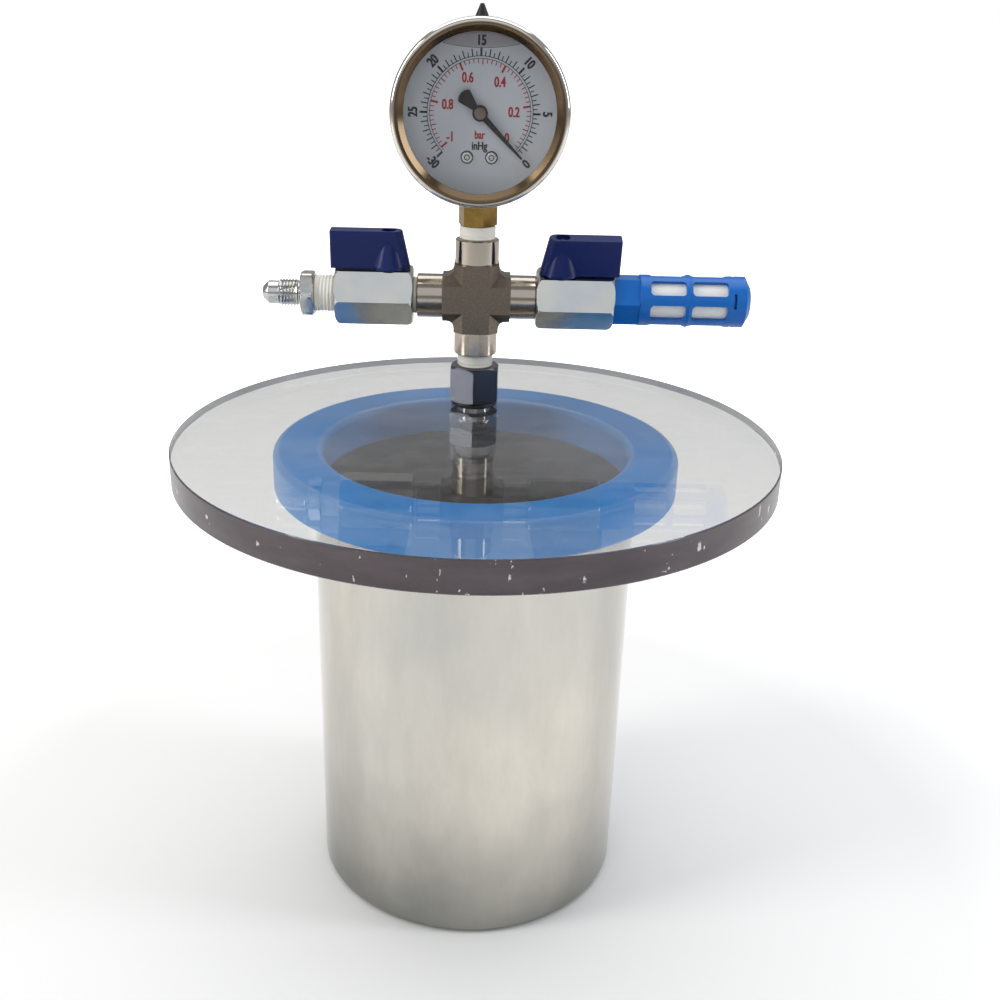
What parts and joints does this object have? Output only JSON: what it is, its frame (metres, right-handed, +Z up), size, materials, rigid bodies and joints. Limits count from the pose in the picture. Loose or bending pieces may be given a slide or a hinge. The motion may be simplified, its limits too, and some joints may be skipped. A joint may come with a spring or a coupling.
{
  "type": "vacuum chamber",
  "caption": "Bench vacuum chamber: deep steel pot, soft gasket and thick clear lid carrying a pipe cross with dial gauge, ball valves, intake filter and flare connector.",
  "frame": {"origin": "centre of the pot's underside, on the surface it stands on", "axes": "+Z up along the pot's axis, -Y towards the viewer of the gauge, +X towards the intake filter"},
  "size_m": [0.24, 0.24, 0.3554],
  "materials": {
    "pot_steel": "polished",
    "gasket_silicone": "satin",
    "lid_acrylic": "clear, polished",
    "black_rubber": "matt",
    "fitting_steel": "machined",
    "cross_steel": "forged, pickled",
    "thread_tape": "matt",
    "valve_ptfe": "matt",
    "lever_paint": "gloss",
    "screw_steel": "zinc plated",
    "gauge_brass": "machined",
    "filter_plastic": "satin",
    "filter_media": "porous",
    "gauge_steel": "polished",
    "gauge_clear": "clear",
    "dial_paint": "matt, printed",
    "pointer_paint": "matt",
    "pointer_metal": "satin"
  },
  "bodies": {
    "chamber": {"chamber_pot": "pot_steel", "lid_gasket": "gasket_silicone", "lid_disc": "lid_acrylic", "bulkhead_fitting": "fitting_steel", "bulkhead_o_ring": "black_rubber", "bulkhead_washer": "fitting_steel", "bulkhead_nut": "fitting_steel", "riser_nipple": "fitting_steel", "riser_tape": "thread_tape", "pipe_cross": "cross_steel", "left_valve_body": "fitting_steel", "left_valve_retainer": "fitting_steel", "left_valve_seats": "valve_ptfe", "left_valve_packing": "valve_ptfe", "right_valve_body": "fitting_steel", "right_valve_retainer": "fitting_steel", "right_valve_seats": "valve_ptfe", "right_valve_packing": "valve_ptfe", "left_valve_tape": "thread_tape", "flare_connector": "fitting_steel", "flare_tape": "thread_tape", "filter_cage": "filter_plastic", "filter_element": "filter_media", "filter_cap": "filter_plastic", "gauge_tape": "thread_tape", "gauge_socket": "gauge_brass", "gauge_case": "gauge_steel", "gauge_glass_seal": "black_rubber", "gauge_glass": "gauge_clear", "gauge_bezel": "gauge_steel", "gauge_fill_plug": "black_rubber", "gauge_dial": "dial_paint", "gauge_dial_screws": "screw_steel", "gauge_bourdon_tube": "gauge_brass", "gauge_movement_frame": "gauge_brass"},
    "left_lever": {"left_valve_handle": "lever_paint", "left_handle_screw": "screw_steel", "left_valve_stem": "fitting_steel", "left_valve_ball": "gauge_steel"},
    "right_lever": {"right_valve_handle": "lever_paint", "right_handle_screw": "screw_steel", "right_valve_stem": "fitting_steel", "right_valve_ball": "gauge_steel"},
    "pointer": {"gauge_pointer": "pointer_paint", "gauge_pointer_cap": "pointer_metal", "gauge_arbor": "fitting_steel"}
  },
  "joints": [
    {"name": "left_handle_turn", "type": "hinge", "parent": "chamber", "child": "left_lever", "pos_m": [-0.0373, 0.044, 0.2437], "axis": [0, -0.0698, 0.9976], "range_deg": [-90, 0]},
    {"name": "right_handle_turn", "type": "hinge", "parent": "chamber", "child": "right_lever", "pos_m": [0.0334, 0.044, 0.2437], "axis": [0, -0.2419, 0.9703], "range_deg": [-90, 0]},
    {"name": "pointer_turn", "type": "hinge", "parent": "chamber", "child": "pointer", "pos_m": [-0.0012, 0.044, 0.3166], "axis": [0, -1, 0], "range_deg": [0, 270], "stiffness_Nm_per_rad": 0.002}
  ]
}
